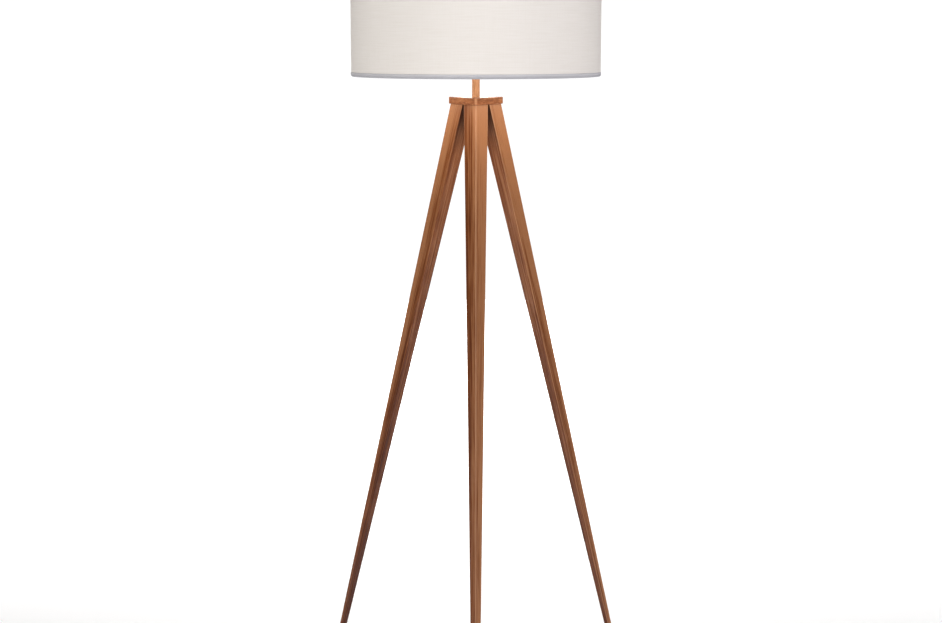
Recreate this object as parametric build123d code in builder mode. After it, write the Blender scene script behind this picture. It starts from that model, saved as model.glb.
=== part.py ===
from build123d import *
import os
from math import sqrt

# A floor lamp on three wooden legs with a drum shade. Millimetres, +Z up, the floor is z = 0.
# The pole's axis stands a little behind the origin, which is the middle of the whole footprint.

# Tripod: each leg has an equilateral section with its ridge outward
STAND_HEIGHT = 1174.2  # floor to the hub plate's underside
FOOT_REACH = 354.5  # pole axis to a leg's ridge at the floor
FOOT_SIDE = 16.7  # side of a leg's section at the floor
CROWN_SIDE = 50.2  # side of a leg's section under the plate
CROWN_GAP = 3.7  # between neighbouring legs under the plate
LEG_EDGE_R = 1.2
PAD_HEIGHT = 3.0
PAD_INSET = 0.4  # pad's edge inside the leg's edge
FRONT, RIGHT, LEFT = -90, 30, 150  # bearings of the legs
LEGS = {"front": FRONT, "right": RIGHT, "left": LEFT}

# Hub plate
PLATE_OVERHANG = 5.8  # a leg's ridge to the plate's corner, before it is rounded
PLATE_THICKNESS = 14.0
PLATE_CORNER_R = 3.0
PLATE_EDGE_R = 1.5

# Each leg hangs from the plate on a countersunk screw in an insert, with a dowel against turning
SCREW_R = 3.0
SCREW_LENGTH = 30.0
SCREW_HEAD_R = 5.9
SCREW_SOCKET = 4.0  # across flats
SCREW_SOCKET_DEPTH = 2.2
INSERT_R = 4.5
INSERT_LENGTH = 15.0
INSERT_SINK = 0.5  # insert's top below the leg's top
INSERT_WALL = 3.5  # wood between the insert's hole and the leg's inner face
DOWEL_R = 3.0
DOWEL_WALL = 3.0  # wood between the dowel and the leg's outer faces
DOWEL_IN_PLATE = 9.0
DOWEL_IN_LEG = 20.0
HOLE_FIT = 0.05  # radial, round a piece that is pressed, glued or screwed in
HOLE_CLEARANCE = 0.3  # radial, round a piece that passes through
BLIND_END = 1.0  # space left at the bottom of a blind hole

# Pole: a hollow threaded rod through the plate, inside a wooden sleeve
POLE_HEIGHT = 57.8  # plate to lampholder
POLE_R = 7.9
ROD_R = 5.0
ROD_BORE_R = 3.5
ROD_BELOW_PLATE = 15.0
ROD_IN_HOLDER = 7.0
WASHER_CLEARANCE = 1.9  # washer to the legs' inner faces
WASHER_THICKNESS = 1.5
LOCK_WASHER_R = 8.5
LOCK_WASHER_THICKNESS = 1.2
LOCK_WASHER_SPLIT = 1.0
NUT_ACROSS_FLATS = 14.0
NUT_THICKNESS = 4.0
BUSHING_R = 7.5
BUSHING_GAP = 0.5  # nut to bushing
BUSHING_END_GAP = 0.2  # rod's end to the bushing's floor
BUSHING_FLOOR = 4.0
BUSHING_LIP_R = 1.0
CORD_HOLE_R = 3.25

# Lampholder: a cap on the rod, and on the cap a skirt with a shoulder that carries the shade
CAP_WALL = 2.0
CAP_HEIGHT = 30.0
CAP_NECK_WALL = 3.0
CAP_NECK_HEIGHT = 6.0
CAP_CORNER_R = 5.0
GRUB_R = 1.5
GRUB_GAP = 0.3  # grub screw's point to the rod
GRUB_LEVEL = 3.0  # above the cap's foot
SHOULDER_STEP = 2.3  # outside the skirt
SHOULDER_THICKNESS = 4.0
SKIRT_WALL = 2.7
SKIRT_CLEARANCE = 3.0  # screw shell to the skirt
SKIRT_HEIGHT = 28.0  # above the shoulder
SPIGOT_DEPTH = 6.0  # skirt's spigot inside the cap
SPIGOT_WALL = 1.8
SPIGOT_CLEARANCE = 0.2
LEDGE_RISE = 1.0  # skirt's inner ledge above the cap's rim
LEDGE_WIDTH = 1.0
CORE_BOSS = 4.0  # core below the ledge
CORE_THICKNESS = 12.0
CORE_CLEARANCE = 0.2
TERMINAL_REACH = 8.0
TERMINAL_R = 1.5
TERMINAL_HEAD_R = 2.75
TERMINAL_HEAD_HEIGHT = 2.0
TERMINAL_IN_CORE = 8.0
SHELL_BORE_R = 13.5
SHELL_WALL = 0.5
SHELL_HEIGHT = 17.0
SHELL_FLOOR_HOLE_R = 6.0
CONTACT_THICKNESS = 0.4
CONTACT_RISE = 3.6
CONTACT_WIDTH = 5.0
CONTACT_REACH = 4.0

# Rotary switch inside the cap, its knob out at the right
SWITCH_RISE = 17.0  # knob's axis above the cap's foot
SWITCH_SETBACK = 0.8  # cord's hole to the switch body
SWITCH_CLEARANCE = 0.1  # switch body's corners to the cap's inner corner
SWITCH_WIDTH = 11.0
SWITCH_HEIGHT = 15.0
SHAFT_R = 2.0
SHAFT_GAP = 0.3  # switch body to shaft
SHAFT_CLEARANCE = 0.1
KNOB_R = 6.5
KNOB_GAP = 0.8  # cap to knob
KNOB_COLLAR = 4.0
KNOB_GRIP_LENGTH = 8.0
KNOB_GRIP_THICKNESS = 3.5
KNOB_EDGE_R = 0.8

# Shade: fabric on a stiff liner, a wire ring in a rolled hem at each end
SHADE_R = 250.0
SHADE_HEIGHT = 300.0
FABRIC_THICKNESS = 0.6
LINER_THICKNESS = 0.5
GLUE_LINE = 0.1
SEAM_WIDTH = 14.0
HEM_HEIGHT = 8.8
HEM_SLACK = 0.3  # wire to the hem round it
WIRE_R = 2.5

# Fitter: a ring clamped on the lampholder, on three arms from the lower wire
FITTER_RISE = 50.0  # shade's lower rim to the fitter ring
FITTER_WIDTH = 10.7
FITTER_THICKNESS = 2.0
FITTER_CLEARANCE = 0.6
ARM_R = 2.0
ARM_SETBACK = 2.0  # lampholder's shoulder to the arms' inner ends
ARM_FLAT = 9.0  # level stretch under the fitter ring
ARM_BEND_R = 12.0
ARM_CLEARANCE = 0.6  # round an arm in the hem's notch
WELD_GAP = 0.05
ARM_END_GAP = 0.5
BACK_ARM = 90  # bearing of the first arm
SHADE_RING_WIDTH = 7.2
SHADE_RING_HEIGHT = 8.0
SHADE_RING_CLEARANCE = 0.1
SHADE_RING_GRIPS = 18
SHADE_RING_GRIP_R = 1.6

# Bulb, heights from its contact tip
BULB_R = 30.0
BULB_LENGTH = 110.0
BULB_TIP_GAP = 0.2
BULB_WALL = 1.2
TIP_R = 4.7
TIP_CHAMFER = 1.2
TIP_HEIGHT = 2.5
INSULATOR_SETBACK = 2.1  # inside the screw cap
INSULATOR_HEIGHT = 3.0
BULB_CAP_CLEARANCE = 0.3  # screw shell to the screw cap
BULB_CAP_WALL = 0.4
BULB_CAP_LOW = 6.0
BULB_CAP_TOP = 26.0
HOUSING_RIM = 72.0
HOUSING_WALL = 1.5
HOUSING_NECK = 8.0  # inside the screw cap
HOUSING_STEP = 0.4  # screw cap to the housing's foot
HOUSING_FOOT = 2.0
BOARD_THICKNESS = 1.2
BOARD_DEPTH = 8.0  # housing's rim to the board's underside
BOARD_LEDGE = 2.0
GLOBE_SPIGOT = 4.0

# The legs' ridges follow from their section and the gap between them
CROWN_INNER_REACH = (CROWN_GAP + CROWN_SIDE / 2) / sqrt(3)
CROWN_REACH = CROWN_INNER_REACH + CROWN_SIDE * sqrt(3) / 2
PLATE_REACH = CROWN_REACH + PLATE_OVERHANG
INSERT_HOLE_DEPTH = max(SCREW_LENGTH - PLATE_THICKNESS, INSERT_SINK + INSERT_LENGTH) + BLIND_END
DOWEL_REACH = CROWN_REACH - 2 * (DOWEL_R + DOWEL_WALL)

# Levels
PLATE_TOP = STAND_HEIGHT + PLATE_THICKNESS
WASHER_LOW = STAND_HEIGHT - WASHER_THICKNESS
LOCK_WASHER_LOW = WASHER_LOW - LOCK_WASHER_THICKNESS
NUT_LOW = LOCK_WASHER_LOW - NUT_THICKNESS
BUSHING_TOP = NUT_LOW - BUSHING_GAP
ROD_LOW = STAND_HEIGHT - ROD_BELOW_PLATE
BUSHING_FLOOR_TOP = ROD_LOW - BUSHING_END_GAP
BUSHING_LOW = BUSHING_FLOOR_TOP - BUSHING_FLOOR
HOLDER_FOOT = PLATE_TOP + POLE_HEIGHT
CAP_SHELF = HOLDER_FOOT + CAP_NECK_HEIGHT
CAP_FLOOR = CAP_SHELF + CAP_WALL
CAP_TOP = HOLDER_FOOT + CAP_HEIGHT
SWITCH_LEVEL = HOLDER_FOOT + SWITCH_RISE
SHOULDER_TOP = CAP_TOP + SHOULDER_THICKNESS
SKIRT_TOP = SHOULDER_TOP + SKIRT_HEIGHT
LEDGE = CAP_TOP + LEDGE_RISE
CORE_LOW = LEDGE - CORE_BOSS
CORE_TOP = LEDGE + CORE_THICKNESS
FITTER_TOP = SHOULDER_TOP + FITTER_THICKNESS
ARM_LEVEL = SHOULDER_TOP - WELD_GAP - ARM_R
SHADE_LOW = SHOULDER_TOP - FITTER_RISE
SHADE_TOP = SHADE_LOW + SHADE_HEIGHT
BULB_TIP = CORE_TOP + CONTACT_RISE + BULB_TIP_GAP

# Radii that follow from the ones above
ROD_HOLE_R = ROD_R + HOLE_CLEARANCE
ROD_SEAT_R = ROD_R + HOLE_FIT
CAP_NECK_R = ROD_R + CAP_NECK_WALL
WASHER_R = CROWN_INNER_REACH - WASHER_CLEARANCE
SHELL_R = SHELL_BORE_R + SHELL_WALL
SKIRT_BORE_R = SHELL_R + SKIRT_CLEARANCE
SKIRT_R = SKIRT_BORE_R + SKIRT_WALL
SHOULDER_R = SKIRT_R + SHOULDER_STEP
SPIGOT_BORE_R = SKIRT_BORE_R - LEDGE_WIDTH
SPIGOT_R = SPIGOT_BORE_R + SPIGOT_WALL
CAP_BORE_R = SPIGOT_R + SPIGOT_CLEARANCE
CAP_R = CAP_BORE_R + CAP_WALL
FITTER_BORE_R = SKIRT_R + FITTER_CLEARANCE
FITTER_R = FITTER_BORE_R + FITTER_WIDTH
SHADE_RING_BORE_R = SKIRT_R + SHADE_RING_CLEARANCE
SHADE_RING_R = SHADE_RING_BORE_R + SHADE_RING_WIDTH
FABRIC_BORE_R = SHADE_R - FABRIC_THICKNESS
LINER_R = FABRIC_BORE_R - GLUE_LINE
LINER_BORE_R = LINER_R - LINER_THICKNESS
WIRE_RING_R = LINER_BORE_R - GLUE_LINE - WIRE_R
HEM_OUTER_R = SHADE_R + GLUE_LINE + FABRIC_THICKNESS
HEM_INNER_R = WIRE_RING_R - WIRE_R - HEM_SLACK - FABRIC_THICKNESS
HEM_MIDDLE_R = (HEM_OUTER_R + HEM_INNER_R) / 2
HEM_FOLD_R = (HEM_OUTER_R - HEM_INNER_R) / 2
BULB_CAP_R = SHELL_BORE_R - BULB_CAP_CLEARANCE
CAP_SKIN_R = BULB_CAP_R - BULB_CAP_WALL
INSULATOR_R = BULB_CAP_R - INSULATOR_SETBACK
RIM_R = sqrt(BULB_R**2 - (BULB_LENGTH - BULB_R - HOUSING_RIM) ** 2)
RIM_BORE_R = RIM_R - HOUSING_WALL


def along_leg(at_floor, at_crown, level):
    """A leg's measure at a level, straight from the floor to the plate."""
    return at_floor + (at_crown - at_floor) * level / STAND_HEIGHT


def leg_section(level, inset=0.0):
    """Corners of a leg's section at a level: the ridge, then the two inner edges."""
    side = along_leg(FOOT_SIDE, CROWN_SIDE, level)
    centre = along_leg(FOOT_REACH, CROWN_REACH, level) - side / sqrt(3)
    corner = side / sqrt(3) - 2 * inset
    half_side = corner * sqrt(3) / 2
    return (centre + corner, 0), (centre - corner / 2, half_side), (centre - corner / 2, -half_side)


SCREW_REACH = leg_section(STAND_HEIGHT - INSERT_HOLE_DEPTH)[1][0] + INSERT_WALL + INSERT_R

# The footprint runs from the front leg's rounded ridge to the back of the shade or of the rear legs
FRONT_REACH = leg_section(PAD_HEIGHT)[0][0] - LEG_EDGE_R
BACK_REACH = max(HEM_OUTER_R, FOOT_REACH / 2)
AXIS_Y = (FRONT_REACH - BACK_REACH) / 2

FLOOR = Plane((0, AXIS_Y, 0))
POLE_AXIS = Axis((0, AXIS_Y, 0), (0, 0, 1))
HANGING = (Align.CENTER, Align.CENTER, Align.MAX)

os.makedirs("parts", exist_ok=True)


def upright(bearing):
    """The upright plane through the pole's axis on a bearing, x outward and y up."""
    station = FLOOR.rotated((0, 0, bearing))
    return Plane(station.origin, x_dir=station.x_dir, z_dir=-station.y_dir)


PROFILE = upright(0)


def write(piece, name):
    """Label a finished piece and write its file."""
    piece.part.label = name
    export_step(piece.part, f"parts/{name}.step")


def make_tube(name, bore_r, outer_r, low, high):
    """A plain tube, ring or washer round the pole's axis."""
    with BuildPart() as tube:
        with BuildSketch(FLOOR.offset(low)):
            Circle(outer_r)
            Circle(bore_r, mode=Mode.SUBTRACT)
        extrude(amount=high - low)
    write(tube, name)


def make_turned(name, *outline):
    """A piece turned about the pole's axis from its outline of (radius, level) points."""
    with BuildPart() as turned:
        with BuildSketch(PROFILE):
            with BuildLine():
                Polyline(*outline, close=True)
            make_face()
        revolve(axis=POLE_AXIS)
    write(turned, name)


def rims(piece, radius):
    """A piece's circular edges of one radius, the lowest first."""
    circles = piece.edges().filter_by(GeomType.CIRCLE)
    return circles.filter_by(lambda edge: abs(edge.radius - radius) < HOLE_FIT / 2).sort_by(Axis.Z)


# ---- Legs and their pads ----
def make_leg(name, station):
    """One leg, cut level at the plate and at its pad, with the holes for its insert and its dowel."""
    with BuildPart() as leg:
        for level in (PAD_HEIGHT, STAND_HEIGHT):
            with BuildSketch(station.offset(level)):
                with BuildLine():
                    Polyline(*leg_section(level), close=True)
                make_face()
        loft(ruled=True)
        fillet(leg.edges().filter_by(lambda edge: edge.length > STAND_HEIGHT / 2), LEG_EDGE_R)
        with BuildSketch(station.offset(STAND_HEIGHT)):
            with Locations((SCREW_REACH, 0)):
                Circle(INSERT_R + HOLE_FIT)
        extrude(amount=-INSERT_HOLE_DEPTH, mode=Mode.SUBTRACT)
        with BuildSketch(station.offset(STAND_HEIGHT)):
            with Locations((DOWEL_REACH, 0)):
                Circle(DOWEL_R + HOLE_FIT)
        extrude(amount=-DOWEL_IN_LEG - BLIND_END, mode=Mode.SUBTRACT)
    write(leg, name)


def make_foot_pad(name, station):
    """One rubber pad of the leg's section, a little smaller, from the floor up to the leg."""
    with BuildPart() as pad:
        with BuildSketch(station) as outline:
            with BuildLine():
                Polyline(*leg_section(PAD_HEIGHT, PAD_INSET), close=True)
            make_face()
            fillet(outline.vertices(), LEG_EDGE_R)
        extrude(amount=PAD_HEIGHT)
    write(pad, name)


for side_name, bearing in LEGS.items():
    make_leg(f"leg_{side_name}", FLOOR.rotated((0, 0, bearing)))
    make_foot_pad(f"foot_pad_{side_name}", FLOOR.rotated((0, 0, bearing)))

# ---- Hub plate ----
with BuildPart() as hub_plate:
    with BuildSketch(FLOOR.offset(STAND_HEIGHT)) as plate_outline:
        RegularPolygon(PLATE_REACH, 3, rotation=FRONT)
        fillet(plate_outline.vertices(), PLATE_CORNER_R)
    extrude(amount=PLATE_THICKNESS)
    fillet(hub_plate.faces().filter_by(Axis.Z).edges(), PLATE_EDGE_R)
    with BuildSketch(FLOOR.offset(STAND_HEIGHT)):
        Circle(ROD_HOLE_R)
    extrude(amount=PLATE_THICKNESS, mode=Mode.SUBTRACT)
    with BuildSketch(FLOOR.offset(STAND_HEIGHT)):
        with PolarLocations(DOWEL_REACH, 3, start_angle=FRONT):
            Circle(DOWEL_R + HOLE_FIT)
    extrude(amount=DOWEL_IN_PLATE + BLIND_END, mode=Mode.SUBTRACT)
    with Locations(FLOOR.offset(PLATE_TOP)):
        with PolarLocations(SCREW_REACH, 3, start_angle=FRONT):
            CounterSinkHole(
                SCREW_R + HOLE_CLEARANCE,
                SCREW_HEAD_R + HOLE_CLEARANCE,
                PLATE_THICKNESS,
                counter_sink_angle=90,
            )
write(hub_plate, "hub_plate")

# ---- What fastens the legs ----
with BuildPart(FLOOR.offset(PLATE_TOP)) as leg_screws:
    with PolarLocations(SCREW_REACH, 3, start_angle=FRONT):
        Cylinder(SCREW_R, SCREW_LENGTH, align=HANGING)
        Cone(SCREW_R, SCREW_HEAD_R, SCREW_HEAD_R - SCREW_R, align=HANGING)
    with BuildSketch(FLOOR.offset(PLATE_TOP)):
        with PolarLocations(SCREW_REACH, 3, start_angle=FRONT):
            RegularPolygon(SCREW_SOCKET / 2, 6, major_radius=False)
    extrude(amount=-SCREW_SOCKET_DEPTH, mode=Mode.SUBTRACT)
write(leg_screws, "leg_screws")

with BuildPart() as leg_inserts:
    with BuildSketch(FLOOR.offset(STAND_HEIGHT - INSERT_SINK)):
        with PolarLocations(SCREW_REACH, 3, start_angle=FRONT):
            Circle(INSERT_R)
            Circle(SCREW_R + HOLE_FIT, mode=Mode.SUBTRACT)
    extrude(amount=-INSERT_LENGTH)
write(leg_inserts, "leg_inserts")

with BuildPart() as leg_dowels:
    with BuildSketch(FLOOR.offset(STAND_HEIGHT - DOWEL_IN_LEG)):
        with PolarLocations(DOWEL_REACH, 3, start_angle=FRONT):
            Circle(DOWEL_R)
    extrude(amount=DOWEL_IN_LEG + DOWEL_IN_PLATE)
write(leg_dowels, "leg_dowels")

# ---- Pole and what clamps it to the plate ----
make_tube("pole_sleeve", ROD_HOLE_R, POLE_R, PLATE_TOP, HOLDER_FOOT)
make_tube("threaded_rod", ROD_BORE_R, ROD_R, ROD_LOW, HOLDER_FOOT + ROD_IN_HOLDER)
make_tube("rod_washer", ROD_HOLE_R, WASHER_R, WASHER_LOW, STAND_HEIGHT)

with BuildPart() as rod_lock_washer:
    with BuildSketch(FLOOR.offset(LOCK_WASHER_LOW)):
        Circle(LOCK_WASHER_R)
        Circle(ROD_HOLE_R, mode=Mode.SUBTRACT)
        Rectangle(LOCK_WASHER_R, LOCK_WASHER_SPLIT, align=(Align.MIN, Align.CENTER), mode=Mode.SUBTRACT)
    extrude(amount=LOCK_WASHER_THICKNESS)
write(rod_lock_washer, "rod_lock_washer")

with BuildPart() as rod_nut:
    with BuildSketch(FLOOR.offset(NUT_LOW)):
        RegularPolygon(NUT_ACROSS_FLATS / 2, 6, major_radius=False)
        Circle(ROD_SEAT_R, mode=Mode.SUBTRACT)
    extrude(amount=NUT_THICKNESS)
write(rod_nut, "rod_nut")

with BuildPart() as cord_bushing:
    with BuildSketch(FLOOR.offset(BUSHING_LOW)):
        Circle(BUSHING_R)
        Circle(CORD_HOLE_R, mode=Mode.SUBTRACT)
    extrude(amount=BUSHING_TOP - BUSHING_LOW)
    with BuildSketch(FLOOR.offset(BUSHING_FLOOR_TOP)):
        Circle(ROD_SEAT_R)
    extrude(amount=BUSHING_TOP - BUSHING_FLOOR_TOP, mode=Mode.SUBTRACT)
    fillet(cord_bushing.faces().sort_by(Axis.Z)[0].edges(), BUSHING_LIP_R)
write(cord_bushing, "cord_bushing")

# ---- Lampholder ----
with BuildPart() as holder_cap:
    with BuildSketch(FLOOR.offset(HOLDER_FOOT)):
        Circle(CAP_NECK_R)
    extrude(amount=CAP_HEIGHT)
    with BuildSketch(FLOOR.offset(CAP_SHELF)):
        Circle(CAP_R)
    extrude(amount=CAP_TOP - CAP_SHELF)
    fillet(rims(holder_cap, CAP_R)[0], CAP_CORNER_R)
    with BuildSketch(FLOOR.offset(CAP_FLOOR)):
        Circle(CAP_BORE_R)
    extrude(amount=CAP_TOP - CAP_FLOOR, mode=Mode.SUBTRACT)
    fillet(rims(holder_cap, CAP_BORE_R)[0], CAP_CORNER_R - CAP_WALL)
    with BuildSketch(FLOOR.offset(HOLDER_FOOT)):
        Circle(ROD_SEAT_R)
    extrude(amount=CAP_FLOOR - HOLDER_FOOT, mode=Mode.SUBTRACT)
    with BuildSketch(Plane((0, AXIS_Y, SWITCH_LEVEL), x_dir=(0, 1, 0), z_dir=(1, 0, 0))):
        Circle(SHAFT_R + SHAFT_CLEARANCE)
    extrude(amount=CAP_R, mode=Mode.SUBTRACT)
    with BuildSketch(Plane((0, AXIS_Y, HOLDER_FOOT + GRUB_LEVEL), x_dir=(1, 0, 0), z_dir=(0, 1, 0))):
        Circle(GRUB_R + HOLE_FIT)
    extrude(amount=CAP_NECK_R, mode=Mode.SUBTRACT)
write(holder_cap, "holder_cap")

with BuildPart() as holder_grub_screw:
    grub_start = AXIS_Y + ROD_R + GRUB_GAP
    with BuildSketch(Plane((0, grub_start, HOLDER_FOOT + GRUB_LEVEL), x_dir=(1, 0, 0), z_dir=(0, 1, 0))):
        Circle(GRUB_R)
    extrude(amount=CAP_NECK_R - ROD_R - GRUB_GAP)
write(holder_grub_screw, "holder_grub_screw")

make_turned(
    "holder_skirt",
    (SPIGOT_BORE_R, CAP_TOP - SPIGOT_DEPTH),
    (SPIGOT_R, CAP_TOP - SPIGOT_DEPTH),
    (SPIGOT_R, CAP_TOP),
    (SHOULDER_R, CAP_TOP),
    (SHOULDER_R, SHOULDER_TOP),
    (SKIRT_R, SHOULDER_TOP),
    (SKIRT_R, SKIRT_TOP),
    (SKIRT_BORE_R, SKIRT_TOP),
    (SKIRT_BORE_R, LEDGE),
    (SPIGOT_BORE_R, LEDGE),
)

with BuildPart() as holder_core:
    with BuildSketch(FLOOR.offset(CORE_LOW)):
        Circle(SPIGOT_BORE_R - CORE_CLEARANCE)
    extrude(amount=CORE_BOSS)
    with BuildSketch(FLOOR.offset(LEDGE)):
        Circle(SKIRT_BORE_R - CORE_CLEARANCE)
    extrude(amount=CORE_THICKNESS)
    with BuildSketch(FLOOR.offset(CORE_LOW)):
        with PolarLocations(TERMINAL_REACH, 2, start_angle=90):
            Circle(TERMINAL_R + HOLE_FIT)
    extrude(amount=TERMINAL_IN_CORE + BLIND_END, mode=Mode.SUBTRACT)
write(holder_core, "holder_core")

with BuildPart() as terminal_screws:
    with BuildSketch(FLOOR.offset(CORE_LOW - TERMINAL_HEAD_HEIGHT)):
        with PolarLocations(TERMINAL_REACH, 2, start_angle=90):
            Circle(TERMINAL_HEAD_R)
    extrude(amount=TERMINAL_HEAD_HEIGHT)
    with BuildSketch(FLOOR.offset(CORE_LOW)):
        with PolarLocations(TERMINAL_REACH, 2, start_angle=90):
            Circle(TERMINAL_R)
    extrude(amount=TERMINAL_IN_CORE)
write(terminal_screws, "terminal_screws")

make_turned(
    "screw_shell",
    (SHELL_FLOOR_HOLE_R, CORE_TOP),
    (SHELL_R, CORE_TOP),
    (SHELL_R, CORE_TOP + SHELL_HEIGHT),
    (SHELL_BORE_R, CORE_TOP + SHELL_HEIGHT),
    (SHELL_BORE_R, CORE_TOP + SHELL_WALL),
    (SHELL_FLOOR_HOLE_R, CORE_TOP + SHELL_WALL),
)

# A strip folded back over itself, so that its free end presses up against the bulb
with BuildPart() as centre_contact:
    with BuildSketch(PROFILE.offset(-CONTACT_WIDTH / 2)):
        with BuildLine():
            Polyline(
                (-CONTACT_REACH, CORE_TOP),
                (CONTACT_REACH, CORE_TOP),
                (CONTACT_REACH, CORE_TOP + CONTACT_THICKNESS),
                (0, CORE_TOP + CONTACT_RISE),
                (-CONTACT_REACH / 2, CORE_TOP + CONTACT_RISE),
                (-CONTACT_REACH / 2, CORE_TOP + CONTACT_RISE - CONTACT_THICKNESS),
                (-CONTACT_THICKNESS / 2, CORE_TOP + CONTACT_RISE - CONTACT_THICKNESS),
                (CONTACT_REACH - 2 * CONTACT_THICKNESS, CORE_TOP + CONTACT_THICKNESS),
                (-CONTACT_REACH, CORE_TOP + CONTACT_THICKNESS),
                close=True,
            )
        make_face()
    extrude(amount=CONTACT_WIDTH)
write(centre_contact, "centre_contact")

# ---- Switch ----
SWITCH_START = ROD_R + SWITCH_SETBACK
SWITCH_CORNER_R = CAP_R - CAP_CORNER_R - SWITCH_CLEARANCE
SWITCH_FACE = sqrt(SWITCH_CORNER_R**2 - (SWITCH_WIDTH / 2) ** 2)
SHAFT_START = SWITCH_FACE + SHAFT_GAP
KNOB_START = CAP_R + KNOB_GAP
SHAFT_END = KNOB_START + KNOB_COLLAR


def across(x):
    """The plane square to the switch's axis, x to the right of the pole's axis."""
    return Plane((x, AXIS_Y, SWITCH_LEVEL), x_dir=(0, 1, 0), z_dir=(1, 0, 0))


with BuildPart() as switch_body:
    with BuildSketch(FLOOR.offset(CAP_FLOOR)):
        with Locations((SWITCH_START, 0)):
            Rectangle(SWITCH_FACE - SWITCH_START, SWITCH_WIDTH, align=(Align.MIN, Align.CENTER))
    extrude(amount=SWITCH_HEIGHT)
write(switch_body, "switch_body")

with BuildPart() as switch_shaft:
    with BuildSketch(across(SHAFT_START)):
        Circle(SHAFT_R)
    extrude(amount=SHAFT_END - SHAFT_START)
write(switch_shaft, "switch_shaft")

with BuildPart() as switch_knob:
    with BuildSketch(across(KNOB_START)):
        Circle(KNOB_R)
    extrude(amount=KNOB_COLLAR)
    with BuildSketch(across(KNOB_START + KNOB_COLLAR)):
        Circle(KNOB_R)
        Rectangle(KNOB_GRIP_THICKNESS, 2 * KNOB_R, mode=Mode.INTERSECT)
    extrude(amount=KNOB_GRIP_LENGTH)
    fillet(switch_knob.faces().sort_by(Axis.X)[-1].edges(), KNOB_EDGE_R)
    with BuildSketch(across(KNOB_START)):
        Circle(SHAFT_R + HOLE_FIT)
    extrude(amount=KNOB_COLLAR + BLIND_END, mode=Mode.SUBTRACT)
write(switch_knob, "switch_knob")

# ---- Shade ----
SKIN_LOW = SHADE_LOW + HEM_FOLD_R
SKIN_TOP = SHADE_TOP - HEM_FOLD_R

with BuildPart() as shade_fabric:
    with BuildSketch(FLOOR.offset(SKIN_LOW)):
        Circle(SHADE_R)
        Circle(FABRIC_BORE_R, mode=Mode.SUBTRACT)
    extrude(amount=SKIN_TOP - SKIN_LOW)
    with BuildSketch(FLOOR.offset(SHADE_LOW + HEM_HEIGHT + GLUE_LINE)):
        Circle(SHADE_R + FABRIC_THICKNESS)
        with Locations((0, SHADE_R)):
            Rectangle(SEAM_WIDTH, SHADE_R, mode=Mode.INTERSECT)
        Circle(FABRIC_BORE_R, mode=Mode.SUBTRACT)
    extrude(amount=SHADE_HEIGHT - 2 * (HEM_HEIGHT + GLUE_LINE))
write(shade_fabric, "shade_fabric")

make_tube("shade_liner", LINER_BORE_R, LINER_R, SKIN_LOW, SKIN_TOP)


def make_wire(name, level):
    """One wire ring, inside the liner."""
    with BuildPart() as wire:
        with BuildSketch(PROFILE):
            with Locations((WIRE_RING_R, level)):
                Circle(WIRE_R)
        revolve(axis=POLE_AXIS)
    write(wire, name)


make_wire("shade_wire_bottom", SKIN_LOW)
make_wire("shade_wire_top", SKIN_TOP)


def make_hem(name, rim, inward, notched):
    """One hem: fabric folded round the wire, with both its edges inward of the rim."""
    fold = rim + inward * HEM_FOLD_R
    edge = rim + inward * HEM_HEIGHT
    with BuildPart() as hem:
        with BuildSketch(PROFILE):
            with BuildLine():
                Line((HEM_OUTER_R, edge), (HEM_OUTER_R, fold))
                ThreePointArc((HEM_OUTER_R, fold), (HEM_MIDDLE_R, rim), (HEM_INNER_R, fold))
                Polyline(
                    (HEM_INNER_R, fold),
                    (HEM_INNER_R, edge),
                    (HEM_INNER_R + FABRIC_THICKNESS, edge),
                    (HEM_INNER_R + FABRIC_THICKNESS, fold),
                )
                ThreePointArc(
                    (HEM_INNER_R + FABRIC_THICKNESS, fold),
                    (HEM_MIDDLE_R, rim + inward * FABRIC_THICKNESS),
                    (HEM_OUTER_R - FABRIC_THICKNESS, fold),
                )
                Polyline(
                    (HEM_OUTER_R - FABRIC_THICKNESS, fold),
                    (HEM_OUTER_R - FABRIC_THICKNESS, edge),
                    (HEM_OUTER_R, edge),
                )
            make_face()
        revolve(axis=POLE_AXIS)
        if notched:
            notch = 2 * (ARM_R + ARM_CLEARANCE)
            with BuildSketch(FLOOR.offset(SKIN_LOW - notch / 2)):
                with PolarLocations(HEM_INNER_R, 3, start_angle=BACK_ARM):
                    Rectangle(2 * ARM_R, notch)
            extrude(amount=HEM_HEIGHT, mode=Mode.SUBTRACT)
    write(hem, name)


make_hem("shade_hem_bottom", SHADE_LOW, 1, True)
make_hem("shade_hem_top", SHADE_TOP, -1, False)

# ---- Fitter, its arms and the ring that clamps it ----
make_tube("fitter_ring", FITTER_BORE_R, FITTER_R, SHOULDER_TOP, FITTER_TOP)

with BuildPart() as fitter_arms:
    for turn in (0, 120, 240):
        with BuildLine(upright(BACK_ARM + turn)) as route:
            FilletPolyline(
                (SHOULDER_R + ARM_SETBACK, ARM_LEVEL),
                (SHOULDER_R + ARM_SETBACK + ARM_FLAT, ARM_LEVEL),
                (WIRE_RING_R - WIRE_R - ARM_END_GAP, SKIN_LOW),
                radius=ARM_BEND_R,
            )
        with BuildSketch(Plane(origin=route.line @ 0, z_dir=route.line % 0)):
            Circle(ARM_R)
        sweep()
write(fitter_arms, "fitter_arms")

with BuildPart() as shade_ring:
    with BuildSketch(FLOOR.offset(FITTER_TOP)):
        Circle(SHADE_RING_R)
        Circle(SHADE_RING_BORE_R, mode=Mode.SUBTRACT)
        with PolarLocations(SHADE_RING_R + SHADE_RING_GRIP_R / 2, SHADE_RING_GRIPS):
            Circle(SHADE_RING_GRIP_R, mode=Mode.SUBTRACT)
    extrude(amount=SHADE_RING_HEIGHT)
write(shade_ring, "shade_ring")

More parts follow.
